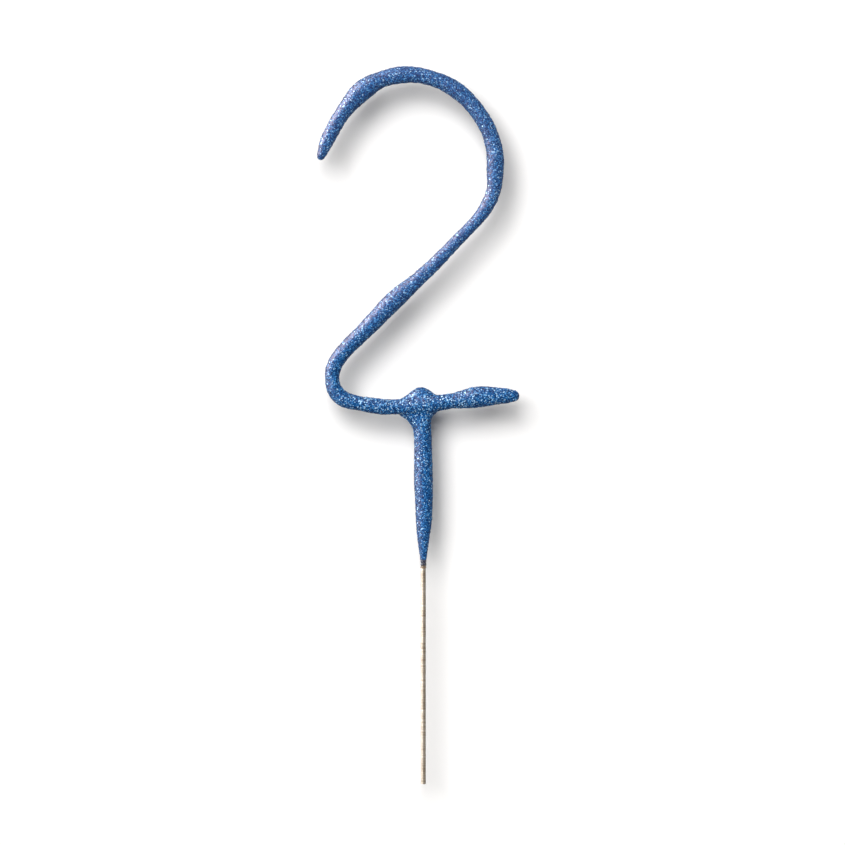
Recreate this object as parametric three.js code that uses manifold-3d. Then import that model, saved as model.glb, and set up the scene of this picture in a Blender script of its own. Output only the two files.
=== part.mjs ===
// Number sparkler candle: a figure 2 bent from steel wire and spot-welded to a straight steel stem,
// then dipped twice in sparkler composition and once in blue glitter lacquer.
// Millimetres and degrees. +Z runs up the stem, and the origin is the centre of its lower cut face.
// The figure lies parallel to the XZ plane and reads the right way round when seen along +Y.

import * as THREE from 'three';
import { mergeVertices } from 'three/addons/utils/BufferGeometryUtils.js';
import Module from 'manifold-3d';

// Wires
const wireDiameter = 1.2;
const weldHeight = 94;
const weldSetDown = 0.24;
const stemPastWeld = 2.4;

// Left branch of the figure wire, from the weld to the end of the hook.
// A positive angle bends the wire to the left of the way it runs.
const baseTilt = 6.6;
const baseRunRadius = 57;
const baseRunAngle = -18.3;
const footRadius = 5.9;
const footAngle = -96;
const easeRadius = 14.7;
const easeAngle = -28;
const diagonalLength = 43.9;
const shoulderRadius = 17.1;
const shoulderAngle = 42.8;
const sideLength = 1.9;
const bowlRadius = 22.9;
const bowlAngle = 76;
const crownRadius = 18;
const crownAngle = 63;
const hookRadius = 38.8;
const hookAngle = 25;

// Right branch of the figure wire, from the weld to the end of the base
const armRiseRadius = 60;
const armRiseAngle = 2.1;
const armLength = 10.2;
const armLevelRadius = 40;
const armLevelAngle = -9.5;
const armEndLength = 3.4;

// Coats on the wires: plain thickness of each, before its swells and thin places
const firstDipThickness = 0.54;
const secondDipThickness = 0.46;
const glitterThickness = 0.28;
const layerGap = 0.03;

// Ends of the coats on the figure: they narrow towards the wire's end and close over it
const tipTaper = 3;
const tipThin = 0.6;
const tipCover = 1.6;

// Lower ends of the coats on the stem
const bareLength = 53.6;
const filmThickness = 0.08;
const filmTaper = 14;
const glitterSetBack = 2.1;
const glitterEdge = 0.06;
const glitterTaper = 9.8;
const secondDipSetBack = 4.5;

// Where the stem meets the figure: fillets under the base and round the bump on the stem's upper end
const lowerLeftFilletRadius = 4.6;
const lowerRightFilletRadius = 2.3;
const upperLeftFilletRadius = 4.4;
const upperRightFilletRadius = 2.6;
const bumpCover = 2.1;

// Swells of the coat, and thin places where the rise is negative. Rise and lean are shares of the
// coat's thickness. Each fades out over its reach to both sides, and lean moves it off the wire.
// At is the distance from the weld: along the wire on the figure, and downwards on the stem.
const leftSwells = [
  { at: 0, reach: 6, rise: 0.3, lean: 0 },
  { at: 8, reach: 5, rise: -0.08, lean: 0 },
  { at: 11.4, reach: 4, rise: 0.1, lean: 0.06 },
  { at: 15.5, reach: 5, rise: -0.1, lean: -0.1 },
  { at: 20.5, reach: 4, rise: 0.06, lean: -0.08 },
  { at: 26, reach: 3.5, rise: -0.12, lean: -0.16 },
  { at: 29.5, reach: 4, rise: 0, lean: 0.12 },
  { at: 39, reach: 7, rise: 0.08, lean: 0 },
  { at: 43.4, reach: 3.5, rise: 0.12, lean: 0 },
  { at: 50.5, reach: 9, rise: 0.38, lean: 0.15 },
  { at: 65, reach: 11, rise: -0.17, lean: -0.27 },
  { at: 76, reach: 13, rise: -0.32, lean: 0 },
  { at: 81, reach: 7, rise: -0.1, lean: 0.14 },
  { at: 88, reach: 5, rise: -0.12, lean: -0.15 },
  { at: 95.5, reach: 6.5, rise: 0.18, lean: 0 },
  { at: 101, reach: 8, rise: 0.06, lean: -0.06 },
  { at: 109, reach: 6, rise: 0.05, lean: 0.08 },
  { at: 117, reach: 5, rise: 0.15, lean: 0 },
  { at: 125, reach: 6, rise: 0, lean: 0.11 },
  { at: 132, reach: 6, rise: 0.18, lean: 0.07 },
  { at: 142.2, reach: 7, rise: 0.54, lean: -0.04 },
  { at: 155, reach: 6, rise: -0.1, lean: 0.13 },
  { at: 161, reach: 5, rise: -0.35, lean: 0.15 },
];
const rightSwells = [
  { at: 0, reach: 6, rise: 0.3, lean: 0.05 },
  { at: 6, reach: 3.5, rise: -0.07, lean: 0.04 },
  { at: 13.6, reach: 7, rise: 0.58, lean: 0.03 },
  { at: 22, reach: 4, rise: 0.12, lean: 0.12 },
];
const stemSwells = [
  { at: -3, reach: 5, rise: 0.15, lean: -0.25 },
  { at: 3, reach: 9, rise: 0.25, lean: -0.25 },
  { at: 13, reach: 10, rise: 0.24, lean: -0.05 },
  { at: 21, reach: 9, rise: 0.25, lean: 0.05 },
  { at: 27, reach: 8, rise: 0.05, lean: 0.1 },
];

// Facets
const wireSides = 10;
const firstDipSides = 8;
const secondDipSides = 10;
const glitterSides = 16;
const ringStep = 2.8;
const turnStep = 14;
const junctionRings = 14;
const tipRings = 3;

const wasm = await Module();
wasm.setup();

const wireRadius = wireDiameter / 2;
const coatThickness = firstDipThickness + secondDipThickness + glitterThickness;
const figureDepth = weldSetDown - wireDiameter;
const stemTop = weldHeight + stemPastWeld;
const glitterStart = bareLength + glitterSetBack;
const secondDipStart = bareLength + secondDipSetBack;
const flareHeight = Math.max(lowerLeftFilletRadius, lowerRightFilletRadius) + ringStep;
const junctionStart = weldHeight - wireRadius - coatThickness - flareHeight;
const tipAngles = Array.from({ length: tipRings }, (_, i) => Math.PI / 2 * i / tipRings);

// Each surface that is dipped: how thick the coats under it are, its sides, and how low it starts
const wireSurface = { depth: 0, sides: wireSides, start: 0 };
const firstDipSurface = { depth: firstDipThickness, sides: firstDipSides, start: bareLength };
const secondDipSurface = {
  depth: firstDipThickness + secondDipThickness,
  sides: secondDipSides,
  start: secondDipStart,
};
const glitterSurface = { depth: coatThickness, sides: glitterSides, start: glitterStart };

const { degToRad, clamp, lerp, smoothstep } = THREE.MathUtils;

// A run of wire, straight or bent to one radius, added as evenly spaced stations
function addRun(stations, length, turn) {
  const from = stations.at(-1);
  const steps = Math.max(Math.ceil(length / ringStep), Math.ceil(Math.abs(turn) / turnStep));
  for (let i = 1; i <= steps; i++) {
    const part = i / steps;
    const halfSwing = degToRad(turn * part) / 2;
    const chord = halfSwing === 0 ? length * part : length * part * Math.sin(halfSwing) / halfSwing;
    stations.push({
      x: from.x + chord * Math.cos(from.heading + halfSwing),
      z: from.z + chord * Math.sin(from.heading + halfSwing),
      heading: from.heading + 2 * halfSwing,
      along: from.along + length * part,
    });
  }
}

// Stations along one branch of the figure wire: straight feeds, each followed by a bend
function branch(heading, bends) {
  const stations = [{ x: 0, z: weldHeight, heading: degToRad(heading), along: 0 }];
  for (const [feed, radius, turn] of bends) {
    if (feed > 0) addRun(stations, feed, 0);
    if (turn !== 0) addRun(stations, radius * Math.abs(degToRad(turn)), turn);
  }
  return stations;
}

// Where the coat swells or thins at one place: its thickness factor and how far it leans
function swellAt(swells, place) {
  const swell = { factor: 1, lean: 0 };
  for (const { at, reach, rise, lean } of swells) {
    const near = smoothstep(reach - Math.abs(place - at), 0, reach);
    swell.factor += rise * near;
    swell.lean += lean * near;
  }
  return swell;
}

// The coat narrows over its last stretch before the wire's end
function taperAt(stations, along) {
  const left = (stations.at(-1).along - along) / tipTaper;
  return left >= 1 ? 1 : lerp(tipThin, 1, Math.sin(left * Math.PI / 2));
}

// Each branch's stations with the coat's thickness at each, ordered from the hook to the right arm
function coatedWire() {
  const left = branch(180 + baseTilt, [
    [0, baseRunRadius, baseRunAngle],
    [0, footRadius, footAngle],
    [0, easeRadius, easeAngle],
    [diagonalLength, shoulderRadius, shoulderAngle],
    [sideLength, bowlRadius, bowlAngle],
    [0, crownRadius, crownAngle],
    [0, hookRadius, hookAngle],
  ]);
  const right = branch(baseTilt, [
    [0, armRiseRadius, armRiseAngle],
    [armLength, armLevelRadius, armLevelAngle],
    [armEndLength, 0, 0],
  ]);
  for (const [stations, swells] of [[left, leftSwells], [right, rightSwells]]) {
    for (const station of stations) {
      const { factor, lean } = swellAt(swells, station.along);
      station.factor = factor * taperAt(stations, station.along);
      station.lean = lean;
    }
  }
  const towardsWeld = left.slice(1).reverse().map((station) => (
    { ...station, heading: station.heading + Math.PI, lean: -station.lean }
  ));
  return [...towardsWeld, ...right];
}

const figureStations = coatedWire();

// A closed skin through rings of points, with a point in the middle of each end
function loft(rings, firstMiddle, lastMiddle) {
  const sides = rings[0].length;
  const points = [...rings.flat(), firstMiddle, lastMiddle];
  const first = points.length - 2;
  const last = points.length - 1;
  const lastRing = (rings.length - 1) * sides;
  const index = [];
  for (let j = 0; j < sides; j++) {
    const next = (j + 1) % sides;
    for (let i = 0; i < lastRing; i += sides) {
      index.push(i + j, i + next, i + sides + j);
      index.push(i + next, i + sides + next, i + sides + j);
    }
    index.push(first, next, j);
    index.push(last, lastRing + j, lastRing + next);
  }
  const geometry = new THREE.BufferGeometry().setFromPoints(points);
  geometry.setIndex(index);
  return geometry;
}

// The figure up to one surface, grown all over by a clearance
function figureGeometry({ depth, sides }, grow) {
  const reach = tipCover * depth / coatThickness + grow;
  const radiusAt = (station) => wireRadius + depth * station.factor + grow;
  const middleAt = ({ x, z, heading, factor, lean }, ahead) => {
    const offset = lean * depth * factor;
    return new THREE.Vector3(
      x + ahead * Math.cos(heading) - offset * Math.sin(heading),
      figureDepth,
      z + ahead * Math.sin(heading) + offset * Math.cos(heading),
    );
  };
  const ring = (station, radius, ahead) => {
    const middle = middleAt(station, ahead);
    const outward = new THREE.Vector3(-Math.sin(station.heading), 0, Math.cos(station.heading));
    return Array.from({ length: sides }, (_, j) => {
      const angle = 2 * Math.PI * j / sides;
      const point = middle.clone().addScaledVector(outward, radius * Math.cos(angle));
      return point.setY(middle.y - radius * Math.sin(angle));
    });
  };
  const tip = (station, way) => {
    if (depth === 0) return [ring(station, radiusAt(station), way * reach)];
    return tipAngles.map((angle) => (
      ring(station, radiusAt(station) * Math.cos(angle), way * reach * Math.sin(angle))
    ));
  };
  const start = figureStations[0];
  const end = figureStations.at(-1);
  const rings = [
    ...tip(start, -1).reverse(),
    ...figureStations.slice(1, -1).map((station) => ring(station, radiusAt(station), 0)),
    ...tip(end, 1),
  ];
  return loft(rings, middleAt(start, -reach), middleAt(end, reach));
}

// Radius of a surface on the stem, before the fillets: its coats run out thin at their lower ends
function stemRadius(depth, height) {
  if (depth === 0) return wireRadius;
  const { factor } = swellAt(stemSwells, weldHeight - height);
  const film = smoothstep(height, bareLength, bareLength + filmTaper);
  const inner = wireRadius + lerp(filmThickness, firstDipThickness * factor, film);
  const edge = inner + layerGap + glitterEdge;
  const full = wireRadius + coatThickness * factor;
  const outer = lerp(edge, full, clamp((height - glitterStart) / glitterTaper, 0, 1));
  return lerp(inner, outer, (depth - firstDipThickness) / (coatThickness - firstDipThickness));
}

// How far a fillet reaches out from the stem. Edge is the side of the base that it runs into,
// and way is 1 for a fillet below that edge and -1 for one above it.
function filletWidth(height, radius, edge, way) {
  const rise = way * (height - edge) + radius;
  if (rise <= 0) return 0;
  if (rise < radius) return radius - Math.sqrt(radius ** 2 - rise ** 2);
  return radius * clamp((weldHeight - height) / (weldHeight - edge), 0, 1);
}

// Both fillets on one side of the stem, side -1 to the left and 1 to the right
function flareWidth(height, lowerRadius, upperRadius, side) {
  const slope = side * Math.tan(degToRad(baseTilt));
  const underside = weldHeight - wireRadius - coatThickness + slope * lowerRadius;
  const top = weldHeight + wireRadius + coatThickness + slope * upperRadius;
  const below = filletWidth(height, lowerRadius, underside, 1);
  return Math.max(below, filletWidth(height, upperRadius, top, -1));
}

// The stem up to one surface, grown all over by a clearance
function stemGeometry({ depth, sides, start }, grow) {
  const share = depth / coatThickness;
  const reach = bumpCover * share + grow;
  const ring = (height, scale, z) => {
    const radius = (stemRadius(depth, height) + grow) * scale;
    const left = radius + share * flareWidth(z, lowerLeftFilletRadius, upperLeftFilletRadius, -1);
    const right = radius + share * flareWidth(z, lowerRightFilletRadius, upperRightFilletRadius, 1);
    const middle = swellAt(stemSwells, weldHeight - height).lean * depth;
    return Array.from({ length: sides }, (_, j) => {
      const angle = 2 * Math.PI * j / sides;
      const across = Math.cos(angle) * (Math.cos(angle) > 0 ? right : left);
      return new THREE.Vector3(middle + across, radius * Math.sin(angle), z);
    });
  };
  const heights = [];
  if (depth > 0) {
    const flareStart = Math.max(start, junctionStart);
    const lowerRings = Math.ceil((flareStart - start) / ringStep);
    for (let i = 1; i <= lowerRings; i++) heights.push(lerp(start, flareStart, i / lowerRings));
    for (let i = 1; i < junctionRings; i++) heights.push(lerp(flareStart, stemTop, i / junctionRings));
  }
  const topAngles = depth === 0 ? [0] : tipAngles;
  const rings = [
    ring(start, 1, start - grow),
    ...heights.map((height) => ring(height, 1, height)),
    ...topAngles.map((angle) => (
      ring(stemTop, Math.cos(angle), stemTop + (depth === 0 ? grow : reach * Math.sin(angle)))
    )),
  ];
  const topMiddle = swellAt(stemSwells, weldHeight - stemTop).lean * depth;
  const bottom = new THREE.Vector3(0, 0, start - grow);
  return loft(rings, bottom, new THREE.Vector3(topMiddle, 0, stemTop + reach));
}

// A geometry as a solid to join and cut, and back
function toSolid(geometry) {
  const merged = mergeVertices(geometry);
  const vertProperties = Float32Array.from(merged.attributes.position.array);
  const triVerts = Uint32Array.from(merged.index.array);
  return new wasm.Manifold(new wasm.Mesh({ numProp: 3, vertProperties, triVerts }));
}

function toGeometry(solid) {
  const { vertProperties, triVerts } = solid.getMesh();
  const geometry = new THREE.BufferGeometry();
  geometry.setAttribute('position', new THREE.BufferAttribute(vertProperties, 3));
  geometry.setIndex(new THREE.BufferAttribute(triVerts, 1));
  geometry.computeVertexNormals();
  return geometry;
}

// Figure and stem as one body up to a surface
function dipped(surface, grow) {
  return toSolid(figureGeometry(surface, grow)).add(toSolid(stemGeometry(surface, grow)));
}

// A coat: all up to its own surface, less all that was there before it was dipped
function coat(surface, covered) {
  return covered.reduce((solid, under) => solid.subtract(dipped(under, layerGap)), dipped(surface, 0));
}

// The stem is pressed into the figure wire at the weld, so it is cut to fit round it
function stemWire() {
  const stem = toSolid(stemGeometry(wireSurface, 0));
  return stem.subtract(toSolid(figureGeometry(wireSurface, layerGap)));
}

const steel = new THREE.MeshStandardMaterial({ color: 0xb8aca0, roughness: 0.35, metalness: 0.9 });
const composition = new THREE.MeshStandardMaterial({ color: 0x75767a, roughness: 0.9, metalness: 0.1 });
const glitter = new THREE.MeshStandardMaterial({ color: 0x50719f, roughness: 0.4, metalness: 0.3 });

const candle = new THREE.Group();

function addPiece(name, solid, material) {
  const piece = new THREE.Mesh(toGeometry(solid), material);
  piece.name = name;
  candle.add(piece);
}

addPiece('figure_wire', toSolid(figureGeometry(wireSurface, 0)), steel);
addPiece('stem_wire', stemWire(), steel);
addPiece('composition_first_dip', coat(firstDipSurface, [wireSurface]), composition);
addPiece('composition_second_dip', coat(secondDipSurface, [firstDipSurface]), composition);
addPiece('glitter_coat', coat(glitterSurface, [firstDipSurface, secondDipSurface]), glitter);

export default candle;
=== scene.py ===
"""A number sparkler candle: a figure 2 of steel wire under a lumpy blue glitter coat, on a bare stem.

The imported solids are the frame. The coat, its glitter flakes, the grey edge of the dip and the bare
stem are modelled here around them. Metres; +Z runs up the stem, and the figure is seen from -Y.
"""

import math

import bpy
import numpy as np
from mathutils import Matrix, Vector
from mathutils.bvhtree import BVHTree

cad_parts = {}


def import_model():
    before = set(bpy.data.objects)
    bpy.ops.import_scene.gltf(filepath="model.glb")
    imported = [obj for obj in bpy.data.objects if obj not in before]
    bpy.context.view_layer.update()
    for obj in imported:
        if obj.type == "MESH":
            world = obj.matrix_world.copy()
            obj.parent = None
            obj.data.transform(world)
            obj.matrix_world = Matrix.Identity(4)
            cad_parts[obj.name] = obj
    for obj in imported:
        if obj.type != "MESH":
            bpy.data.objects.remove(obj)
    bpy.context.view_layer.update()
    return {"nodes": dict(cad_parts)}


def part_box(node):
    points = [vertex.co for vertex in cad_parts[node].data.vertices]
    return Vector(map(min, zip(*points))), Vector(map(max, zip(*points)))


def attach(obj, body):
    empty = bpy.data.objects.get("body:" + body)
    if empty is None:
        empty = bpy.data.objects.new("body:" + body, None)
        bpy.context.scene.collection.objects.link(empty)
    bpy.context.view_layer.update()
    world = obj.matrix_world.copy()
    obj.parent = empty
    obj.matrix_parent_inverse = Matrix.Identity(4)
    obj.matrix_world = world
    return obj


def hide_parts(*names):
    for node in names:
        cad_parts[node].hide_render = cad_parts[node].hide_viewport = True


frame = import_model()

MM = 0.001
BODY = "root"
UP = (0, 0, 1)

# Sizes read from the solids
COAT_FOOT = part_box("glitter_coat")[0][2]
FILM_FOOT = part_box("composition_first_dip")[0][2]
WIRE_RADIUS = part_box("stem_wire")[1][0]
WIRE_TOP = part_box("stem_wire")[1][2]


# Shader maths

class Value:
    """An output socket of a material, so that shader maths reads as plain arithmetic."""

    def __init__(self, finish, socket):
        self.finish = finish
        self.socket = socket

    def math(self, operation, first, second, clamp=False):
        settings = {"operation": operation, "use_clamp": clamp}
        return self.finish.add("ShaderNodeMath", settings, {0: first, 1: second})

    def __add__(self, other):
        return self.math("ADD", self, other)

    def __radd__(self, other):
        return self.math("ADD", other, self)

    def __mul__(self, other):
        return self.math("MULTIPLY", self, other)

    def __rmul__(self, other):
        return self.math("MULTIPLY", other, self)

    def clamped(self):
        return self.math("ADD", self, 0.0, clamp=True)


class Finish:
    """A material or world in the making: one method adds any node."""

    def __init__(self, owner):
        owner.use_nodes = True
        self.tree = owner.node_tree
        self.tree.nodes.clear()

    def add(self, kind, settings=None, inputs=None, out=0):
        node = self.tree.nodes.new(kind)
        for name, value in (settings or {}).items():
            if name == "stops":
                self.set_stops(node.color_ramp, value)
            else:
                setattr(node, name, value)
        for name, value in (inputs or {}).items():
            if isinstance(value, Value):
                self.tree.links.new(value.socket, node.inputs[name])
            else:
                node.inputs[name].default_value = value
        return Value(self, node.outputs[out]) if node.outputs else node

    def set_stops(self, ramp, stops):
        while len(ramp.elements) < len(stops):
            ramp.elements.new(1.0)
        for element, (place, colour) in zip(ramp.elements, stops):
            element.position = place
            element.color = (*colour, 1.0)

    def place(self):
        return self.add("ShaderNodeTexCoord", out="Object")

    def height(self, where):
        return self.add("ShaderNodeSeparateXYZ", {}, {"Vector": where}, out=2)

    def stretched(self, where, scale):
        return self.add("ShaderNodeMapping", {}, {"Vector": where, "Scale": scale})

    def noise(self, size, detail, where):
        inputs = {"Vector": where, "Scale": 1 / size, "Detail": detail}
        return self.add("ShaderNodeTexNoise", {}, inputs)

    def cells(self, size, where):
        """A random colour for each cell, whose channels serve as random numbers."""
        inputs = {"Vector": where, "Scale": 1 / size}
        return self.add("ShaderNodeTexVoronoi", {"feature": "F1"}, inputs, out="Color")

    def channel(self, colour, index):
        return self.add("ShaderNodeSeparateColor", {}, {"Color": colour}, out=index)

    def ramp(self, factor, stops):
        return self.add("ShaderNodeValToRGB", {"stops": stops}, {"Fac": factor})

    def mix(self, factor, first, second):
        settings = {"data_type": "RGBA"}
        return self.add("ShaderNodeMix", settings, {0: factor, 6: first, 7: second}, out=2)

    def spread(self, value, low, high, to_low, to_high):
        inputs = {
            "Value": value, "From Min": low, "From Max": high, "To Min": to_low, "To Max": to_high,
        }
        return self.add("ShaderNodeMapRange", {"clamp": True}, inputs)

    def bump(self, height, distance, strength):
        inputs = {"Height": height, "Distance": distance, "Strength": strength}
        return self.add("ShaderNodeBump", {}, inputs)

    def blend(self, factor, first, second):
        return self.add("ShaderNodeMixShader", {}, {0: factor, 1: first, 2: second})

    def looked_at(self):
        """1 for the camera's own rays and for what metal and glass show, 0 for all other light."""
        rays = ("Is Camera Ray", "Is Glossy Ray", "Is Transmission Ray")
        seen, mirrored, through = (self.add("ShaderNodeLightPath", out=ray) for ray in rays)
        return (seen + mirrored + through).clamped()

    def surface(self, shader):
        self.add("ShaderNodeOutputMaterial", {}, {"Surface": shader})


def new_material(name):
    material = bpy.data.materials.new(name)
    return material, Finish(material)


# Finishes

VIOLET = (0.17, 0.15, 0.28, 1)
VIOLET_SHARE = 0.10
VIOLET_FROM = 105 * MM
VIOLET_TO = 125 * MM

BROWN_FILM = (0.22, 0.15, 0.09, 1)
BROWN_UP_TO = FILM_FOOT + 0.6 * MM
GREY_FROM = FILM_FOOT + 1.1 * MM


def violet_above(finish, colour):
    """The glitter's colour turns slightly violet above the foot of the figure."""
    share = finish.spread(
        finish.height(finish.place()), VIOLET_FROM, VIOLET_TO, 0.0, VIOLET_SHARE,
    )
    return finish.mix(share, colour, VIOLET)


def glitter_lacquer():
    """The lacquer between the flakes: deep blue, with small cells of brighter and darker glitter."""
    material, finish = new_material("glitter_lacquer")
    where = finish.place()
    cells = finish.cells(0.24 * MM, where)
    pick = finish.channel(cells, 0)
    shine = finish.channel(cells, 1)
    colour = finish.ramp(pick, [
        (0.0, (0.003, 0.022, 0.085)),
        (0.35, (0.005, 0.044, 0.155)),
        (0.60, (0.013, 0.112, 0.345)),
        (0.85, (0.030, 0.200, 0.500)),
        (1.0, (0.200, 0.460, 0.760)),
    ])
    grain = finish.noise(0.22 * MM, 2.0, where)
    shader = finish.add("ShaderNodeBsdfPrincipled", {}, {
        "Base Color": violet_above(finish, colour),
        "Roughness": finish.spread(shine, 0.0, 1.0, 0.46, 0.60),
        "Normal": finish.bump(grain * 0.6 + pick * 0.8, 0.03 * MM, 0.6),
        "Specular IOR Level": 0.14,
        "Specular Tint": (0.96, 0.81, 0.98, 1),
    })
    finish.surface(shader)
    return material


def glitter_flake():
    """Foil flakes: each has its own tint from deep blue through cyan to silver."""
    material, finish = new_material("glitter_flake")
    tint = finish.add("ShaderNodeAttribute", {"attribute_name": "tint"}, out="Fac")
    speck = finish.noise(0.12 * MM, 2.0, finish.place())
    colour = finish.ramp(tint, [
        (0.0, (0.003, 0.024, 0.085)),
        (0.35, (0.006, 0.062, 0.208)),
        (0.60, (0.017, 0.137, 0.390)),
        (0.82, (0.085, 0.320, 0.670)),
        (1.0, (0.380, 0.610, 0.820)),
    ])
    shader = finish.add("ShaderNodeBsdfPrincipled", {}, {
        "Base Color": violet_above(finish, colour),
        "Metallic": finish.spread(tint, 0.85, 1.0, 0.0, 0.15),
        "Roughness": finish.spread(speck, 0.3, 0.7, 0.52, 0.68),
        "Specular IOR Level": 0.16,
        "Specular Tint": (1.0, 0.76, 0.90, 1),
    })
    finish.surface(shader)
    return material


def grey_composition():
    """Dry grey sparkler composition with fine metal grains, worn brown at its ragged lower end."""
    material, finish = new_material("grey_composition")
    where = finish.place()
    grain = finish.noise(0.16 * MM, 3.0, where)
    pick = finish.channel(finish.cells(0.2 * MM, where), 0)
    colour = finish.ramp(grain * 0.5 + pick * 0.5, [
        (0.2, (0.008, 0.008, 0.012)),
        (0.5, (0.020, 0.020, 0.032)),
        (0.7, (0.080, 0.090, 0.150)),
        (0.9, (0.620, 0.640, 0.720)),
    ])
    ragged = finish.height(where) + grain * (0.6 * MM)
    worn = finish.spread(ragged, BROWN_UP_TO, GREY_FROM, 1.0, 0.0)
    shader = finish.add("ShaderNodeBsdfPrincipled", {}, {
        "Base Color": finish.mix(worn, colour, BROWN_FILM),
        "Metallic": finish.spread(pick, 0.75, 0.95, 0.0, 0.8),
        "Roughness": finish.spread(grain, 0.3, 0.7, 0.20, 0.45),
        "Normal": finish.bump(grain, 0.05 * MM, 0.8),
        "Specular IOR Level": 0.2,
    })
    finish.surface(shader)
    return material


def drawn_steel():
    """Drawn wire: fine lines along it, faint rings across it and a warm brown tint in patches."""
    material, finish = new_material("drawn_steel")
    where = finish.place()
    lines = finish.noise(0.07 * MM, 3.0, finish.stretched(where, (1.0, 1.0, 0.02)))
    rings = finish.noise(0.5 * MM, 3.0, finish.stretched(where, (0.05, 0.05, 1.0)))
    patches = finish.noise(3.0 * MM, 4.0, where)
    colour = finish.ramp(patches * 0.4 + rings * 0.6, [
        (0.38, (0.120, 0.086, 0.056)),
        (0.47, (0.210, 0.173, 0.132)),
        (0.55, (0.270, 0.234, 0.194)),
        (0.66, (0.350, 0.320, 0.282)),
    ])
    shader = finish.add("ShaderNodeBsdfPrincipled", {}, {
        "Base Color": colour,
        "Metallic": 0.62,
        "Roughness": finish.spread(lines, 0.3, 0.7, 0.42, 0.58),
        "Normal": finish.bump(lines * 0.5 + rings * 0.5, 0.012 * MM, 0.7),
    })
    finish.surface(shader)
    return material


# Modelling helpers

BAR_SIDES = 40
MERGE_REACH = 1e-6


def choose(*objects):
    """Selects these objects alone, with the first one active."""
    bpy.ops.object.select_all(action="DESELECT")
    for item in objects:
        item.select_set(True)
    bpy.context.view_layer.objects.active = objects[0]


def edit(piece, *steps, everything=True):
    """Runs operators on a piece in edit mode, each given as an operator and its settings."""
    choose(piece)
    bpy.ops.object.mode_set(mode="EDIT")
    if everything:
        bpy.ops.mesh.select_all(action="SELECT")
    for operator, settings in steps:
        operator(**settings)
    bpy.ops.object.mode_set(mode="OBJECT")


def modify(piece, kind, **settings):
    """Adds a modifier to a piece and applies it."""
    choose(piece)
    modifier = piece.modifiers.new(kind.lower(), kind)
    for name, value in settings.items():
        setattr(modifier, name, value)
    bpy.ops.object.modifier_apply(modifier=modifier.name)


def roughen(piece, name, size, strength, mid_level, fade=""):
    """Pushes a surface in and out by clouds of one size, all over or as a vertex group says."""
    texture = bpy.data.textures.new(name, "CLOUDS")
    texture.noise_scale = size
    texture.noise_depth = 2
    modify(
        piece, "DISPLACE", texture=texture, texture_coords="LOCAL", strength=strength,
        mid_level=mid_level, vertex_group=fade,
    )


def slice_across(piece, heights):
    """Cuts level edge loops into a piece."""
    for height in heights:
        edit(piece, (bpy.ops.mesh.bisect, {"plane_co": (0, 0, height), "plane_no": UP}))


def round_bar(name, radius, foot, top):
    """A closed round bar on the stem's axis."""
    bpy.ops.object.select_all(action="DESELECT")
    bpy.ops.mesh.primitive_cylinder_add(
        vertices=BAR_SIDES, radius=radius, depth=top - foot,
        location=(0, 0, (foot + top) / 2), end_fill_type="NGON",
    )
    bar = bpy.context.object
    bar.name = name
    bpy.ops.object.transform_apply(location=True)
    return bar


def node_copy(node, name):
    """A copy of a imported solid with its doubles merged, as a piece of its own."""
    piece = bpy.data.objects.new(name, frame["nodes"][node].data.copy())
    bpy.context.collection.objects.link(piece)
    piece.data.materials.clear()
    edit(piece, (bpy.ops.mesh.remove_doubles, {"threshold": MERGE_REACH}))
    return piece


def select_faces(piece, wanted):
    """Marks the faces for which wanted is true, so that edit mode finds them selected."""
    mesh = piece.data
    mesh.vertices.foreach_set("select", [False] * len(mesh.vertices))
    mesh.edges.foreach_set("select", [False] * len(mesh.edges))
    mesh.polygons.foreach_set("select", wanted)


def fade_group(piece, low, high):
    """A vertex group that rises from 0 at one height to 1 at another."""
    group = piece.vertex_groups.new(name="fade")
    for vertex in piece.data.vertices:
        weight = min(max((vertex.co.z - low) / (high - low), 0.0), 1.0)
        group.add([vertex.index], weight, "REPLACE")
    return group.name


def dress(piece, material, replaces=None):
    """Gives a finished piece its finish and its body, and hides the node it replaces."""
    piece.data.materials.clear()
    piece.data.materials.append(material)
    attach(piece, BODY)
    if replaces:
        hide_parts(replaces)


# The glitter coat

VOXEL = 0.2 * MM
BORE_REACH = 0.045 * MM
FOOT_REACH = 0.01 * MM
PLUG_LENGTH = 1.2 * MM
SMOOTH_BELOW = COAT_FOOT + 1 * MM
ROUGH_ABOVE = COAT_FOOT + 7 * MM
SMOOTH_PASSES = 24
SKIN_BUMPS = (("lumps", 3.4 * MM, 0.16 * MM), ("blisters", 0.9 * MM, 0.24 * MM))


def bore_faces(piece):
    """Which faces of the coat's solid line its bore: those that hug the composition."""
    bore = np.zeros(len(piece.data.polygons), bool)
    for node in ("composition_first_dip", "composition_second_dip"):
        mesh = frame["nodes"][node].data
        corners = [vertex.co for vertex in mesh.vertices]
        tree = BVHTree.FromPolygons(corners, [face.vertices for face in mesh.polygons])
        bore |= np.array([
            tree.find_nearest(face.center)[3] < BORE_REACH for face in piece.data.polygons
        ])
    return bore


def foot_faces(piece):
    """Which faces lie level at the coat's foot."""
    return np.array([face.center.z < COAT_FOOT + FOOT_REACH for face in piece.data.polygons])


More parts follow.
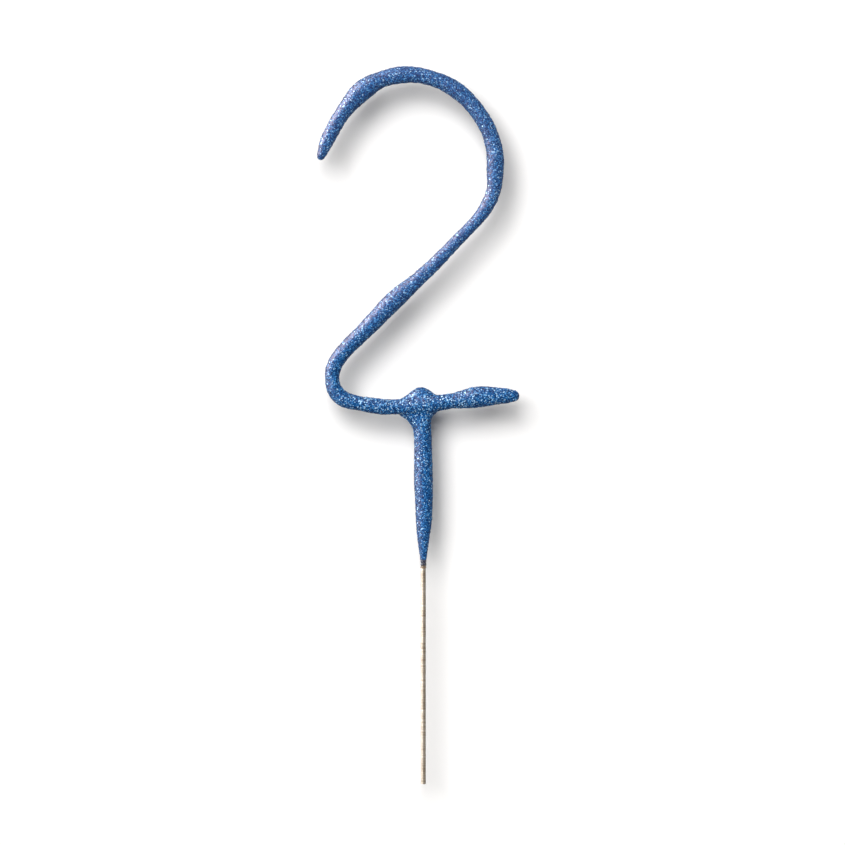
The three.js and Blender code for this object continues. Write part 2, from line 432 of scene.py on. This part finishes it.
def glitter_skin():
    """The coat's outer surface, remeshed, smoothed and roughened, and its bore as it was."""
    skin = node_copy("glitter_coat", "glitter_skin")
    select_faces(skin, foot_faces(skin) & ~bore_faces(skin))
    edit(skin, (bpy.ops.mesh.delete, {"type": "FACE"}), everything=False)
    select_faces(skin, bore_faces(skin))
    edit(skin, (bpy.ops.mesh.separate, {"type": "SELECTED"}), everything=False)
    lining = next(item for item in bpy.context.selected_objects if item is not skin)
    lining.name = "glitter_lining"
    # The remesh needs a closed surface, so a plug closes the foot until the bisect cuts it off
    downwards = {"value": (0, 0, -PLUG_LENGTH)}
    edit(
        skin,
        (bpy.ops.mesh.select_mode, {"type": "EDGE"}),
        (bpy.ops.mesh.select_non_manifold, {"extend": False}),
        (bpy.ops.mesh.extrude_region_move, {"TRANSFORM_OT_translate": downwards}),
        (bpy.ops.mesh.edge_face_add, {}),
        (bpy.ops.mesh.select_mode, {"type": "FACE"}),
    )
    modify(skin, "REMESH", mode="VOXEL", voxel_size=VOXEL)
    modify(skin, "SMOOTH", factor=0.5, iterations=SMOOTH_PASSES)
    fade = fade_group(skin, SMOOTH_BELOW, ROUGH_ABOVE)
    for name, size, strength in SKIN_BUMPS:
        roughen(skin, name, size, strength, mid_level=0.34, fade=fade)
    roughen(skin, "grain", 0.34 * MM, 0.09 * MM, mid_level=0.45)
    edit(skin, (bpy.ops.mesh.bisect, {
        "plane_co": (0, 0, COAT_FOOT), "plane_no": UP, "clear_inner": True,
    }))
    return skin, lining


def close_skin(skin, lining, material):
    """Joins the outer surface to the bore round the foot of the coat."""
    choose(skin, lining)
    bpy.ops.object.join()
    edit(
        skin,
        (bpy.ops.mesh.select_mode, {"type": "EDGE"}),
        (bpy.ops.mesh.select_non_manifold, {"extend": False}),
        (bpy.ops.mesh.bridge_edge_loops, {}),
        (bpy.ops.mesh.select_mode, {"type": "FACE"}),
        (bpy.ops.mesh.select_all, {"action": "SELECT"}),
        (bpy.ops.mesh.normals_make_consistent, {"inside": False}),
    )
    choose(skin)
    bpy.ops.object.shade_smooth()
    dress(skin, material, "glitter_coat")


# Glitter flakes

FLAKE_COUNT = 30000
FLAKES_IN_PIECE = 10000
FLAKE_THICKNESS = 0.14  # for a radius of 1
FLAKE_RADII = (0.10, 0.19)  # in mm
FLAKE_TILT = 0.08  # how far a flake's normal strays, for a normal of length 1
FLAKE_LIFT = 0.012  # in mm

# How light the flakes are, from 0 to 1: a middle value, and a chance that spreads them round it
TINT_MIDDLE = 0.41
TINT_SPREAD = 1.08
CHANCE_SHAPE = (0.8, 1.2)
CHANCE_MEAN = 0.4

# The base of the figure sparkles more, and the foot of the diagonal less
BASE_HEIGHT = 96 * MM
BASE_START = -22 * MM
BASE_FADE = 5 * MM
BASE_LIGHTER = 0.07
BASE_SPREAD = 0.4
DULL_HEIGHT = 109 * MM
DULL_DARKER = 0.06
SPARKLE_REACH = 6 * MM


def flake_pattern():
    """One hexagonal flake of radius 1, as points and faces."""
    bpy.ops.object.select_all(action="DESELECT")
    bpy.ops.mesh.primitive_cylinder_add(vertices=6, radius=1, depth=FLAKE_THICKNESS)
    pattern = bpy.context.object
    points = np.array([vertex.co for vertex in pattern.data.vertices])
    faces = [list(face.vertices) for face in pattern.data.polygons]
    bpy.data.objects.remove(pattern)
    return points, faces


def skin_samples(skin, count, dice):
    """Places on the skin, picked by area, with their normals."""
    mesh = skin.data
    areas = np.empty(len(mesh.polygons))
    mesh.polygons.foreach_get("area", areas)
    centres = np.empty(len(areas) * 3)
    mesh.polygons.foreach_get("center", centres)
    normals = np.empty(len(areas) * 3)
    mesh.polygons.foreach_get("normal", normals)
    centres, normals = centres.reshape(-1, 3), normals.reshape(-1, 3)
    picked = dice.choice(len(areas), count, replace=False, p=areas / areas.sum())
    return centres[picked], normals[picked]


def unit(vectors):
    """The same directions, each of length 1."""
    return vectors / np.linalg.norm(vectors, axis=1, keepdims=True)


def near(heights, middle):
    """1 at a height, fading to 0 away from it."""
    return np.exp(-((heights - middle) / SPARKLE_REACH) ** 2)


def flake_tints(places, dice):
    """How light each flake is, from 0 to 1."""
    near_base = near(places[:, 2], BASE_HEIGHT)
    near_base *= np.clip((places[:, 0] - BASE_START) / BASE_FADE, 0, 1)
    near_dull = near(places[:, 2], DULL_HEIGHT)
    middle = TINT_MIDDLE + BASE_LIGHTER * near_base - DULL_DARKER * near_dull
    chance = dice.beta(*CHANCE_SHAPE, len(places)) - CHANCE_MEAN
    return np.clip(middle + chance * (TINT_SPREAD + BASE_SPREAD * near_base), 0, 1)


def flakes(skin, material):
    """Foil flakes pressed into the lacquer, each lying nearly flat and turned its own way."""
    dice = np.random.default_rng(2)
    pattern, pattern_faces = flake_pattern()
    places, normals = skin_samples(skin, FLAKE_COUNT, dice)
    facing = unit(normals + dice.normal(0, FLAKE_TILT, normals.shape))
    across = unit(np.cross(facing, dice.normal(size=facing.shape)))
    along = np.cross(facing, across)
    radius = dice.uniform(*FLAKE_RADII, len(places)) * MM
    tints = flake_tints(places, dice)
    centres = places + normals * FLAKE_LIFT * MM
    axes = np.stack([across, along, facing], axis=1) * radius[:, None, None]
    corners = centres[:, None] + pattern @ axes
    for number, start in enumerate(range(0, FLAKE_COUNT, FLAKES_IN_PIECE)):
        batch = slice(start, start + FLAKES_IN_PIECE)
        faces = [
            [corner + i * len(pattern) for corner in face]
            for i in range(len(corners[batch])) for face in pattern_faces
        ]
        mesh = bpy.data.meshes.new(f"glitter_flakes_{number + 1}")
        mesh.from_pydata(corners[batch].reshape(-1, 3), [], faces)
        values = np.repeat(tints[batch], len(pattern)).astype(np.float32)
        mesh.attributes.new("tint", "FLOAT", "POINT").data.foreach_set("value", values)
        piece = bpy.data.objects.new(mesh.name, mesh)
        bpy.context.collection.objects.link(piece)
        dress(piece, material)


# The edge of the dip and the bare stem

FILM_THICKNESS = 0.09 * MM
FILM_OVERLAP = 1.0 * MM
FILM_SLICES = 36
FILM_RINGS = 4
FILM_RING_HEIGHT = 0.05 * MM
FILM_TAPER = 0.05 * MM
FILM_PLAIN_AT = 0.6  # how far up the film it has its plain thickness, from 0 to 1

STEM_SLICE = 0.5 * MM
STEM_SLICES = 112
END_BEVEL = 0.07 * MM
END_BURR = 0.02 * MM
FACING_DOWN = -0.9
SHARP_ANGLE = math.radians(40)


def dip_edge(material):
    """The grey film that the first dip leaves on the wire under the blue, with fine rings round it."""
    top = COAT_FOOT + FILM_OVERLAP
    length = top - FILM_FOOT
    radius = WIRE_RADIUS + FILM_THICKNESS
    edge = round_bar("dip_edge", radius, FILM_FOOT, top)
    slice_across(edge, [FILM_FOOT + length * i / FILM_SLICES for i in range(1, FILM_SLICES)])
    for vertex in edge.data.vertices:
        up = (vertex.co.z - FILM_FOOT) / length
        ring = FILM_RING_HEIGHT * math.sin(up * 2 * math.pi * FILM_RINGS)
        scale = 1 + (ring + FILM_TAPER * (up - FILM_PLAIN_AT)) / radius
        vertex.co.x *= scale
        vertex.co.y *= scale
    roughen(edge, "film_grain", 0.3 * MM, 0.08 * MM, mid_level=0.4)
    bpy.ops.object.shade_smooth()
    dress(edge, material)


def bare_stem(material):
    """The straight wire, slightly dented, with a sheared and slightly burred lower end."""
    stem = round_bar("bare_stem", WIRE_RADIUS, 0, WIRE_TOP)
    select_faces(stem, [face.normal.z < FACING_DOWN for face in stem.data.polygons])
    downwards = {"value": (0, 0, -END_BURR)}
    edit(
        stem,
        (bpy.ops.mesh.inset, {"thickness": END_BEVEL}),
        (bpy.ops.mesh.extrude_region_move, {"TRANSFORM_OT_translate": downwards}),
        everything=False,
    )
    slice_across(stem, [i * STEM_SLICE for i in range(1, STEM_SLICES)])
    roughen(stem, "wire_marks", 2.5 * MM, 0.06 * MM, mid_level=0.5)
    bpy.ops.object.shade_smooth_by_angle(angle=SHARP_ANGLE)
    dress(stem, material, "stem_wire")


# Stage: camera, lamps, wall and world

# The photograph's frame in pixels, and how large a pixel is at the figure
PHOTO_SIDE = 845
STEM_COLUMN = 423.4
STEM_END_ROW = 784.0
PHOTO_SCALE = 0.24826 * MM

CAMERA_DISTANCE = 1.6
SENSOR_WIDTH = 36  # in mm, as Blender gives it
CLIP_START = 0.01

FIGURE_MIDDLE = Vector((0, 0, 0.1))
WALL_DEPTH = 8.5 * MM
WALL_SIDE = 1.6
WORLD_LIGHT = 0.16


def camera():
    """Looks straight at the figure, framed as the photograph."""
    data = bpy.data.cameras.new("camera")
    data.sensor_width = SENSOR_WIDTH
    data.lens = SENSOR_WIDTH * CAMERA_DISTANCE / (PHOTO_SIDE * PHOTO_SCALE)
    data.clip_start = CLIP_START
    eye = bpy.data.objects.new("camera", data)
    across = (PHOTO_SIDE / 2 - STEM_COLUMN) * PHOTO_SCALE
    up = (STEM_END_ROW - PHOTO_SIDE / 2) * PHOTO_SCALE
    eye.location = (across, -CAMERA_DISTANCE, up)
    eye.rotation_euler = (math.pi / 2, 0, 0)
    bpy.context.collection.objects.link(eye)
    bpy.context.scene.camera = eye


def softbox(name, towards, distance, size, level):
    """A round soft lamp on the figure; a level of 1 shows a white card that faces it as white."""
    data = bpy.data.lights.new(name, "AREA")
    data.shape = "DISK"
    data.size = size
    data.energy = level * (math.pi * distance) ** 2
    light = bpy.data.objects.new(name, data)
    direction = Vector(towards).normalized()
    light.location = FIGURE_MIDDLE + direction * distance
    light.rotation_euler = direction.to_track_quat("Z", "Y").to_euler()
    bpy.context.collection.objects.link(light)
    return light


def lamps():
    """A broad lamp that lights the colours and casts the shadow, and a small one for the sheen."""
    key = softbox("key", (-0.30, -1.0, 0.42), distance=3.2, size=2.44, level=1.26)
    key.visible_glossy = False
    side = softbox("side", (-0.87, -0.06, 0.54), distance=1.0, size=0.6, level=24.0)
    side.visible_diffuse = False


def paper():
    """White paper that keeps the figure's shadow; from behind, it isn't there."""
    material, finish = new_material("paper")
    plain = finish.add("ShaderNodeBsdfDiffuse", {}, {"Color": (0.3, 0.3, 0.3, 1)})
    white = finish.add("ShaderNodeBsdfDiffuse", {}, {"Color": (0.972, 0.960, 0.950, 1)})
    front = finish.blend(finish.looked_at(), plain, white)
    behind = finish.add("ShaderNodeNewGeometry", out="Backfacing")
    finish.surface(finish.blend(behind, front, finish.add("ShaderNodeBsdfTransparent")))
    return material


def wall():
    """The paper stands upright behind the figure."""
    bpy.ops.object.select_all(action="DESELECT")
    bpy.ops.mesh.primitive_plane_add(
        size=WALL_SIDE, location=(0, WALL_DEPTH, FIGURE_MIDDLE.z), rotation=(math.pi / 2, 0, 0),
    )
    sheet = bpy.context.object
    sheet.name = "wall"
    bpy.ops.object.transform_apply()
    sheet.data.materials.append(paper())


def world():
    """Plain soft light all round, which looks white where it is seen."""
    studio = bpy.data.worlds.new("studio")
    bpy.context.scene.world = studio
    finish = Finish(studio)
    light = finish.add("ShaderNodeBackground", {}, {"Color": (1, 1, 1, 1), "Strength": WORLD_LIGHT})
    white = finish.add("ShaderNodeBackground", {}, {"Color": (1, 1, 1, 1), "Strength": 1.0})
    shown = finish.blend(finish.looked_at(), light, white)
    finish.add("ShaderNodeOutputWorld", {}, {"Surface": shown})


# The scene, put together

camera()
wall()
world()
lamps()

steel = drawn_steel()
composition = grey_composition()
lacquer = glitter_lacquer()
outer, lining = glitter_skin()
flakes(outer, glitter_flake())
close_skin(outer, lining, lacquer)
dip_edge(composition)
bare_stem(steel)

for node, material in (
    ("figure_wire", steel),
    ("composition_first_dip", composition),
    ("composition_second_dip", composition),
):
    for material_slot in frame["nodes"][node].material_slots:
        material_slot.material = material

bpy.context.scene.view_settings.view_transform = "Standard"
